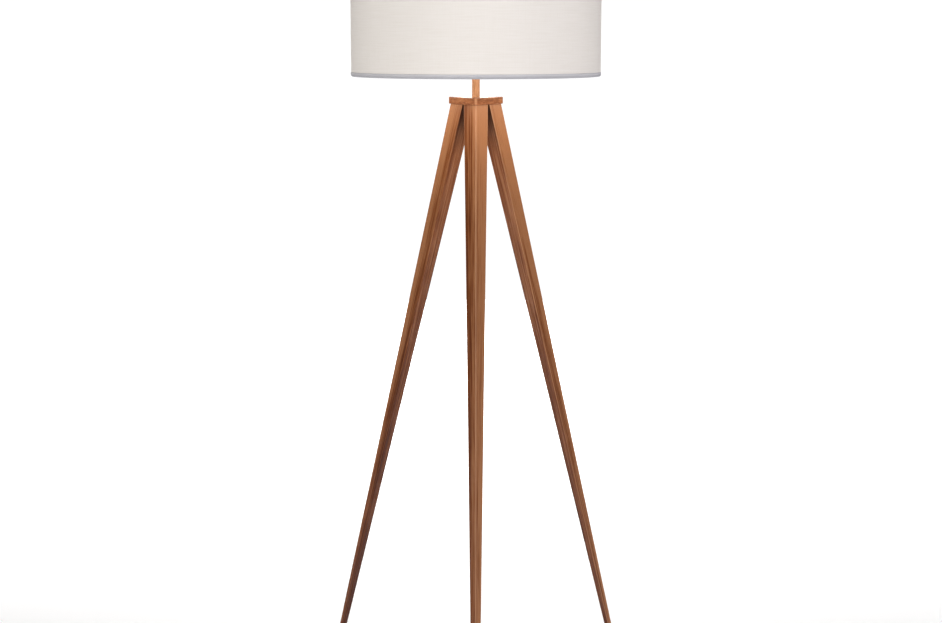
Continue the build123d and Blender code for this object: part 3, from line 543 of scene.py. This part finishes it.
# %% The bulb's cap
CAP_LIP = 2.0 * MM
CAP_THREAD_DEPTH = 0.7 * MM
CAP_PLAIN_TOP = 3.0 * MM
cap_low, cap_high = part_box("bulb_cap")
cap_radius = (cap_high.x - cap_low.x) / 2
lip = np.linspace(0.0, 1.0, LIP_ROWS)[:, None]
cap_lip = turned(cap_radius - CAP_LIP * (1 - lip), AROUND[None, :], cap_low.z + CAP_LIP * lip)
cap_wall = rolled(cap_radius, CAP_THREAD_DEPTH, cap_low.z + CAP_LIP, cap_high.z,
                  cap_low.z + CAP_LIP, cap_high.z - CAP_PLAIN_TOP)
screw_cap = surface("bulb_screw_cap", np.concatenate([cap_lip[:-1], cap_wall]), closed=True, body="bulb")
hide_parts("bulb_cap")

# %% The lampholder's shell
SHELL_HOLE_RADIUS = 6.0 * MM
SHELL_ROOM = 0.2 * MM
SHELL_LIFT = 0.25 * MM
SHELL_THREAD_DEPTH = 0.3 * MM
SHELL_PLAIN_LOW, SHELL_PLAIN_TOP = 1.0 * MM, 0.5 * MM
shell_low, shell_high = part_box("screw_shell")
shell_radius = (shell_high.x - shell_low.x) / 2
shell_floor = turned(SHELL_HOLE_RADIUS + (shell_radius - (SHELL_HOLE_RADIUS + SHELL_ROOM)) * lip, AROUND[None, :],
                     shell_low.z + SHELL_LIFT)
shell_wall = rolled(shell_radius - SHELL_ROOM, SHELL_THREAD_DEPTH, shell_low.z + SHELL_LIFT, shell_high.z,
                    shell_low.z + SHELL_PLAIN_LOW, shell_high.z - SHELL_PLAIN_TOP)
thread_shell = surface("holder_thread_shell", np.concatenate([shell_floor[:-1], shell_wall]), closed=True,
                       body="stand")
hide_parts("screw_shell")

# %% Give the rolled metal its thickness and finish
ROLLED_THICKNESS = 0.3 * MM


def thicken(piece, name, thickness):
    """Gives a sheet its thickness, inward from the surface that was drawn."""
    wall = piece.modifiers.new(name, "SOLIDIFY")
    wall.thickness, wall.offset = thickness, -1.0


aluminium = plain_finish("rolled_aluminium", display(202, 203, 205), 0.26, 0.06, 0.006, 1300.0, (1, 1, 0.2),
                         Metallic=1.0)
for piece, finish in ((screw_cap, aluminium), (thread_shell, brass)):
    thicken(piece, "wall", ROLLED_THICKNESS)
    piece.data.materials.append(finish)

# %% [markdown]
# ## Linen
# The shade's cloth is a plain weave: each thread goes over one neighbour and under the next.
# A product of two sines makes that checker of small bumps. Linen yarn is uneven, so longer,
# thicker slubs run along the threads, most of them level. The pattern reads the cloth's own
# UV map, in metres, so the threads follow the drum round and turn with the hem.


# %% The cloth's finish
THREAD = 0.9 * MM
SLUBS_PER_METRE = 420.0
SLUB_SQUEEZE = 0.035
LEVEL_SHARE = 0.68


def linen_finish(name, deep, middle_tone, bright, weave_depth, fold=None):
    """Weave = sin(2 pi u / thread) sin(2 pi v / thread), plus long slubs along u and fewer along v.

    fold, where there is one, is (start, end, colour): painted shade greys the cloth to that colour from v = start to
    v = end, towards the fold of the roll.
    """
    material, tree, shader = start_finish(name, 0.86, Sheen_Weight=0.04, Sheen_Roughness=0.5, IOR=1.35,
                                          Specular_IOR_Level=0.25)
    cloth = add(tree, "ShaderNodeUVMap", {}, uv_map="cloth").outputs[0]
    parts = add(tree, "ShaderNodeSeparateXYZ", {0: cloth})
    weft = sum_up(tree, "SINE", sum_up(tree, "MULTIPLY", parts.outputs["X"], 2 * np.pi / THREAD))
    warp = sum_up(tree, "SINE", sum_up(tree, "MULTIPLY", parts.outputs["Y"], 2 * np.pi / THREAD))
    weave = sum_up(tree, "MULTIPLY", weft, warp)
    level_slubs = noise(tree, stretched(tree, cloth, (SLUB_SQUEEZE, 1.0, 1.0)), SLUBS_PER_METRE, 3.0, 0.62, 2.0)
    upright_slubs = noise(tree, stretched(tree, cloth, (1.0, SLUB_SQUEEZE, 1.0)), SLUBS_PER_METRE, 3.0, 0.62, 9.0)
    slubs = sum_up(tree, "MULTIPLY_ADD", level_slubs, LEVEL_SHARE,
                   sum_up(tree, "MULTIPLY", upright_slubs, 1 - LEVEL_SHARE))
    yarn = sum_up(tree, "MULTIPLY_ADD", weave, 0.05, slubs)
    cloth_colour = colours(tree, yarn, (0.3, deep), (0.5, middle_tone), (0.72, bright))
    # Painted shade under the roll of the hem.
    if fold:
        start, end, colour = fold
        cloth_colour = mix_colour(tree, fade(tree, parts.outputs["Y"], start, end), cloth_colour, colour)
    tree.links.new(cloth_colour, shader.inputs["Base Color"])
    height = sum_up(tree, "MULTIPLY_ADD", weave, 0.4, sum_up(tree, "MULTIPLY", slubs, 1.6))
    raise_surface(tree, shader, height, weave_depth)
    return material


shade_linen = linen_finish("shade_linen", display(236, 230, 224), display(240, 235, 230), display(244, 239, 235),
                           weave_depth=0.04 * MM)
# The hem's linen is greyer than the drum's, partly a cooler tape and partly painted shade. Its fold is painted
# darker still.
hem_linen = linen_finish("hem_linen", display(202, 201, 206), display(212, 211, 216), display(220, 219, 224),
                         weave_depth=0.12 * MM, fold=(0.5 * MM, 7.0 * MM, display(176, 176, 182)))

# %% [markdown]
# ## The drum
# The cloth is one long rectangle, pressed on to a stiff film and wrapped once round, with
# its two ends lapped at the back. It is a grid of angle and height. The radius grows by a
# little more than one thickness over the lap, and wanders by up to a tenth of a millimetre,
# as pressed cloth does, so that light runs over it a little unevenly.

# %% Measure the shade and make its cloth
cloth_low, cloth_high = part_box("shade_fabric")
hem_low, hem_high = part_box("shade_hem_bottom")
film_low, film_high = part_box("shade_liner")
FILM_RADIUS = (film_high.x - film_low.x) / 2
CLOTH_THICKNESS = 0.6 * MM
GLUE_THICKNESS = 0.1 * MM
CLOTH_RADIUS = FILM_RADIUS + GLUE_THICKNESS + CLOTH_THICKNESS
LAP_ANGLE = 14.0 * MM / CLOTH_RADIUS
HEM_HEIGHT = hem_high.z - hem_low.z
HEM_FADE = 4.0 * MM
UNEVEN_DEPTH = 0.12 * MM
LAP_CLEARANCE = 1.1
CLIMB_FROM, CLIMB_TO = 0.006, 0.002
DRUM_COLUMNS, DRUM_ROWS = 540, 60
BACK = np.pi / 2


def unevenness(angle, level):
    """Five slow waves round and up the drum, within 1 either way when added."""
    waves = ((3, 9.0, 0.4), (5, 4.0, 2.1), (8, 13.0, 4.0), (13, 6.0, 1.3), (21, 17.0, 5.2))
    return sum(np.sin(turns * angle + up * level + start) for turns, up, start in waves) / 5


lap_start = BACK - LAP_ANGLE / 2
drum_angle, drum_level = np.meshgrid(
    lap_start + np.linspace(0, 2 * np.pi + LAP_ANGLE, DRUM_COLUMNS),
    np.linspace(cloth_low.z, cloth_high.z, DRUM_ROWS))
travelled = drum_angle - lap_start
outer_end = smooth_step(2 * np.pi - CLIMB_FROM, 2 * np.pi + CLIMB_TO, travelled)
clear_of_hems = smooth_step(HEM_HEIGHT - HEM_FADE, HEM_HEIGHT, drum_level - cloth_low.z) \
    * smooth_step(HEM_HEIGHT - HEM_FADE, HEM_HEIGHT, cloth_high.z - drum_level)
drum_radius = CLOTH_RADIUS + CLOTH_THICKNESS * outer_end * LAP_CLEARANCE \
    + UNEVEN_DEPTH * unevenness(drum_angle, drum_level) * clear_of_hems
drum_uv = np.stack([travelled * CLOTH_RADIUS, drum_level - cloth_low.z], axis=-1)
shade_cloth = surface("shade_cloth", turned(drum_radius, drum_angle, drum_level), uv=drum_uv, body="shade")
shade_cloth.data.materials.append(shade_linen)
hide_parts("shade_fabric")
thicken(shade_cloth, "cloth_thickness", CLOTH_THICKNESS)

# %% [markdown]
# ## The rolled hems
# At each rim a strip of the same cloth is folded round a wire ring and glued inside and out.
# Its section is a tall narrow U. The strip is cut straight and has to turn a corner round a
# circle, so it puckers a little, and it rides up over the lap at the back. At the lower rim
# its inner edge is snipped where the three arms pass through to the wire.

# %% The hem's section
HEM_OUTER = (hem_high.x - hem_low.x) / 2
HEM_WIDTH = 7.9 * MM
HALF_CLOTH = CLOTH_THICKNESS / 2
HEM_BULGE = 0.55 * MM


def hem_section():
    """(inward, up) of the folded strip in metres, from its outer edge round the fold to its inner edge.

    The outer wall bulges by a sine of the way down it, the fold is half a circle, and the inner wall is upright.
    """
    half = HEM_WIDTH / 2 - HALF_CLOTH
    down = np.linspace(HEM_HEIGHT, half, 9)
    bulge = HEM_BULGE * np.sin(np.pi * np.clip((HEM_HEIGHT - down) / (HEM_HEIGHT - half), 0, 1)) ** 0.7
    outside = np.stack([HALF_CLOTH - bulge, down], axis=-1)
    fold_angle = np.linspace(0, np.pi, 14)[1:-1]
    fold = np.stack([HALF_CLOTH + half * (1 - np.cos(fold_angle)), half * (1 - np.sin(fold_angle))], axis=-1)
    inside = np.stack([np.full(7, HALF_CLOTH + 2 * half), np.linspace(half, HEM_HEIGHT, 7)], axis=-1)
    return np.concatenate([outside, fold, inside])


# %% One hem carried round its rim
ARM_BEARINGS = np.radians([90, 210, 330])
HEM_COLUMNS = 1260
PUCKERS = 9
FEWEST_ROUND, MOST_ROUND = 60, 260
PUCKER_DEPTH = 0.22 * MM
LAP_RISE, LAP_LEVEL = 13.0 * MM, 7.0 * MM
INSIDE_FROM, OUTSIDE_TO = 4.0 * MM, 1.0 * MM
ARM_ROOM = 1.2 * MM
SNIP_NARROW, SNIP_WIDE = 2.8 * MM, 3.9 * MM
PRESSED = 0.03


def roll_hem(name, rim, upward, seed, snipped):
    """Radius = outer radius - inward - puckers; height = rim + upward times the section's height.

    At a snip, what stands above the room under the arm is pressed down to 3%, so that no two rows meet.
    """
    section = hem_section()
    angle = np.linspace(0, 2 * np.pi, HEM_COLUMNS, endpoint=False)
    draw = np.random.default_rng(seed)
    turns = draw.integers(FEWEST_ROUND, MOST_ROUND, PUCKERS)
    puckers = np.sin(turns[:, None] * angle + draw.uniform(0, 2 * np.pi, PUCKERS)[:, None]).sum(0) / PUCKERS
    over_lap = smooth_step(LAP_RISE, LAP_LEVEL, abs(angle - BACK) * CLOTH_RADIUS)
    inward, up = section[:, 0][:, None], section[:, 1][:, None]
    outside = smooth_step(INSIDE_FROM, OUTSIDE_TO, inward)
    pinch = np.sin(np.pi * np.clip(up / HEM_HEIGHT, 0, 1))
    radius = HEM_OUTER - inward + outside * (CLOTH_THICKNESS * over_lap + PUCKER_DEPTH * puckers * pinch)
    height = np.broadcast_to(up, radius.shape).copy()
    if snipped:
        to_arm = np.min(abs(np.angle(np.exp(1j * (angle[None, :] - ARM_BEARINGS[:, None])))), axis=0) * HEM_OUTER
        room = ARM_ROOM + (HEM_HEIGHT - ARM_ROOM) * smooth_step(SNIP_NARROW, SNIP_WIDE, to_arm)
        snipped_height = np.minimum(height, room + PRESSED * np.maximum(height - room, 0.0))
        height = np.where(outside > 0.5, height, snipped_height)
    points = turned(radius, angle, rim + upward * height)
    steps = np.linalg.norm(np.diff(section, axis=0), axis=1)
    strip = np.concatenate([[0.0], np.cumsum(steps)])
    uv = np.stack(np.meshgrid(np.linspace(0, 2 * np.pi, HEM_COLUMNS + 1) * HEM_OUTER, strip), axis=-1)
    if upward > 0:
        points, uv = points[::-1], uv[::-1]
    hem = surface(name, points, closed=True, uv=uv, body="shade")
    hem.data.materials.append(hem_linen)
    thicken(hem, "cloth_thickness", CLOTH_THICKNESS)
    print(name, "strip", round(float(strip[-1]) * 1000, 1), "mm wide")
    return hem


# %% Both hems, and what the cloth rests on
rim_low, rim_high = hem_low.z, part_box("shade_hem_top")[1].z
hem_bottom = roll_hem("hem_roll_bottom", rim_low, 1, 11, True)
hem_top = roll_hem("hem_roll_top", rim_high, -1, 12, False)
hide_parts("shade_hem_bottom")
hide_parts("shade_hem_top")

# %% [markdown]
# ## Weld beads
# The three arms are spot welded under the fitter ring and to the lower wire, then painted
# with them. A bead is a small low mound: an ellipsoid whose surface ripples where the metal
# set. All nine are one mesh in the end, because they are one coat of paint.


# %% One bead
BEAD_ROWS, BEAD_COLUMNS = 13, 24
RIPPLE, RIPPLES_ROUND = 0.04, 8


def bead(centre, bearing, half_sizes):
    """Ellipsoid: half sizes times (sin p cos t, sin p sin t, cos p), rippled by 4% eight times round."""
    polar, around = np.meshgrid(np.linspace(np.pi, 0, BEAD_ROWS),
                                np.linspace(0, 2 * np.pi, BEAD_COLUMNS, endpoint=False), indexing="ij")
    ripple = 1 + RIPPLE * np.sin(RIPPLES_ROUND * around) * np.sin(polar) ** 2
    local = np.stack([np.sin(polar) * np.cos(around), np.sin(polar) * np.sin(around), np.cos(polar)], axis=-1)
    local = local * np.array(half_sizes) * ripple[..., None]
    out, side = np.cos(bearing), np.sin(bearing)
    spun = np.stack([local[..., 0] * out - local[..., 1] * side, local[..., 0] * side + local[..., 1] * out,
                     local[..., 2]], axis=-1)
    return spun + AXIS + np.array([centre[0] * out, centre[0] * side, centre[1]])


# %% Beads at both ends of the arms
ring_low, ring_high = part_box("fitter_ring")
ring_radius = (ring_high.x - ring_low.x) / 2
wire_low, wire_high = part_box("shade_wire_bottom")
wire_radius = (wire_high.x - wire_low.x) / 2
wire_middle = (wire_low.z + wire_high.z) / 2
under_ring = ring_low.z - 0.8 * MM
BEADS_ON_ONE_ARM = ((ring_radius - 1.5 * MM, under_ring, (3.0 * MM, 3.2 * MM, 1.0 * MM)),
                    (ring_radius - 5.5 * MM, under_ring, (1.6 * MM, 3.0 * MM, 0.9 * MM)),
                    (wire_radius - 5.3 * MM, wire_middle, (1.2 * MM, 2.9 * MM, 2.4 * MM)))
beads = []
for bearing in ARM_BEARINGS:
    for number, (radius, level, sizes) in enumerate(BEADS_ON_ONE_ARM):
        piece = surface(f"bead_{round(np.degrees(bearing))}_{number}", bead((radius, level), bearing, sizes),
                        closed=True)
        close_up(piece)
        beads.append(piece)
with bpy.context.temp_override(active_object=beads[0], selected_editable_objects=beads):
    bpy.ops.object.join()
weld_beads = beads[0]
weld_beads.name = weld_beads.data.name = "weld_beads"
weld_beads.data.materials.append(white_steel)
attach(weld_beads, "shade")
print("weld beads", len(weld_beads.data.polygons), "faces")

# %% [markdown]
# ## Studio
# The lamp stands on a round pale floor in white air. The paper of the floor glows a little
# more towards its rim, but only to the camera, so that it ends without a line from any side
# and sends no false light up to the lamp. Broad soft lights stand round it, as windows
# would. Small warm lights stand for what the pale drum throws down on to the pole, the plate
# and the tops of the legs: six round the lower rim, which shine inward, and a weak disc near
# the upper rim. One light over the plate would burn its top out.

# %% The floor
FLOOR_RADIUS = 5.0
GLOW_FROM, GLOW_FULL = 0.8, 4.5
PAPER_GLOW = 0.12
floor_turn, floor_reach = np.meshgrid(np.linspace(0, 2 * np.pi, 96, endpoint=False), [1e-3, 1.0, 2.5, FLOOR_RADIUS])
floor_points = np.stack([floor_reach * np.cos(floor_turn), floor_reach * np.sin(floor_turn),
                         np.zeros_like(floor_turn)], axis=-1)
studio_floor = surface("studio_floor", floor_points, closed=True)
paper, paper_tree, paper_shader = start_finish("studio_paper", 0.9, Emission_Color=(1, 1, 1, 1))
paper_place = add(paper_tree, "ShaderNodeTexCoord", {}).outputs["Object"]
paper_tree.links.new(colours(paper_tree, noise(paper_tree, paper_place, 2.0), (0.3, (0.9, 0.9, 0.9)),
                             (0.7, (0.92, 0.92, 0.92))), paper_shader.inputs["Base Color"])
from_lamp = add(paper_tree, "ShaderNodeVectorMath", {0: paper_place}, operation="LENGTH").outputs["Value"]
to_camera = add(paper_tree, "ShaderNodeLightPath", {}).outputs["Is Camera Ray"]
glow = sum_up(paper_tree, "MULTIPLY_ADD", fade(paper_tree, from_lamp, GLOW_FROM, GLOW_FULL), to_camera, PAPER_GLOW)
paper_tree.links.new(glow, paper_shader.inputs["Emission Strength"])
studio_floor.data.materials.append(paper)


# %% Lights
def soft_light(name, place, target, size, power, colour=(1, 1, 1), spread=180):
    """A square light of this size in metres, turned to face the target, whose beam opens by so many degrees."""
    data = bpy.data.lights.new(name, "AREA")
    data.shape, data.size, data.energy, data.color = "SQUARE", size, power, colour
    data.spread = radians(spread)
    lamp = bpy.data.objects.new(name, data)
    lamp.location = place
    lamp.rotation_euler = (Vector(target) - Vector(place)).to_track_quat("-Z", "Y").to_euler()
    lamp.visible_camera = False
    bpy.context.scene.collection.objects.link(lamp)
    print(name, power, "W")
    return lamp


soft_light("front", (0.0, -4.4, 1.6), (0, 0, 1.2), 2.4, 67)
soft_light("key", (-3.2, -2.2, 1.5), (0, 0, 1.1), 1.6, 48, (1.0, 0.965, 0.92))
soft_light("fill", (3.2, -2.2, 1.5), (0, 0, 1.1), 1.6, 52, (1.0, 0.97, 0.975))
soft_light("floor_behind", (0.0, 2.8, 3.9), (0, 2.8, 0), 3.0, 100, spread=90)
soft_light("back", (0.0, 4.4, 1.6), (0, 0, 1.2), 2.4, 50)

# %% Light from the drum
WARM = (1.0, 0.93, 0.84)
RIM_LIGHT_REACH, RIM_LIGHT_SIZE, RIM_LIGHT_POWER = 0.22, 0.09, 0.135
drum_middle = (float(AXIS[0]), float(AXIS[1]))
inside_the_drum = soft_light("inside_the_drum", (*drum_middle, rim_high - 0.03), (*drum_middle, 0), 0.42, 0.35, WARM)
inside_the_drum.data.shape = "DISK"
for bearing in range(30, 390, 60):
    place = turned(RIM_LIGHT_REACH, radians(bearing), rim_low)
    soft_light(f"lower_rim_{bearing}", tuple(map(float, place)), (*drum_middle, float(pole_low.z)), RIM_LIGHT_SIZE,
               RIM_LIGHT_POWER, WARM)

# %% The air
AIR_GLOW = 0.08
world = bpy.data.worlds.new("studio_air")
bpy.context.scene.world = world
world.use_nodes = True
air = world.node_tree
air.nodes["Background"].inputs["Color"].default_value = (1, 1, 1, 1)
seen_directly = add(air, "ShaderNodeLightPath", {}).outputs["Is Camera Ray"]
air_strength = sum_up(air, "MULTIPLY_ADD", seen_directly, 1.0, AIR_GLOW)
air.links.new(air_strength, air.nodes["Background"].inputs["Strength"])
bpy.context.scene.view_settings.view_transform = "Standard"

# %% [markdown]
# ## Camera
# The lamp is seen from straight in front and from just above the plate, looking down a
# little. A fairly long lens a few metres away keeps the shade's sides nearly upright. The
# top of the shade and the feet run out of the picture.

# %% The camera
CAMERA_DISTANCE = 3.4
CAMERA_RISE = 0.135
CAMERA_TILT = 9.324
CAMERA_TURN = 0.166
LENS = 64.05
SENSOR_WIDTH = 36.0
FAR_ENOUGH = 40
plate_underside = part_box("hub_plate")[0].z
camera_data = bpy.data.cameras.new("camera")
camera_data.sensor_width, camera_data.lens = SENSOR_WIDTH, LENS
camera_data.clip_end = FAR_ENOUGH
camera = bpy.data.objects.new("camera", camera_data)
camera.location = (float(AXIS[0]), float(AXIS[1]) - CAMERA_DISTANCE, plate_underside + CAMERA_RISE)
camera.rotation_euler = (radians(90 - CAMERA_TILT), 0, radians(CAMERA_TURN))
bpy.context.scene.collection.objects.link(camera)
bpy.context.scene.camera = camera
print("camera at", [round(v, 4) for v in camera.location])
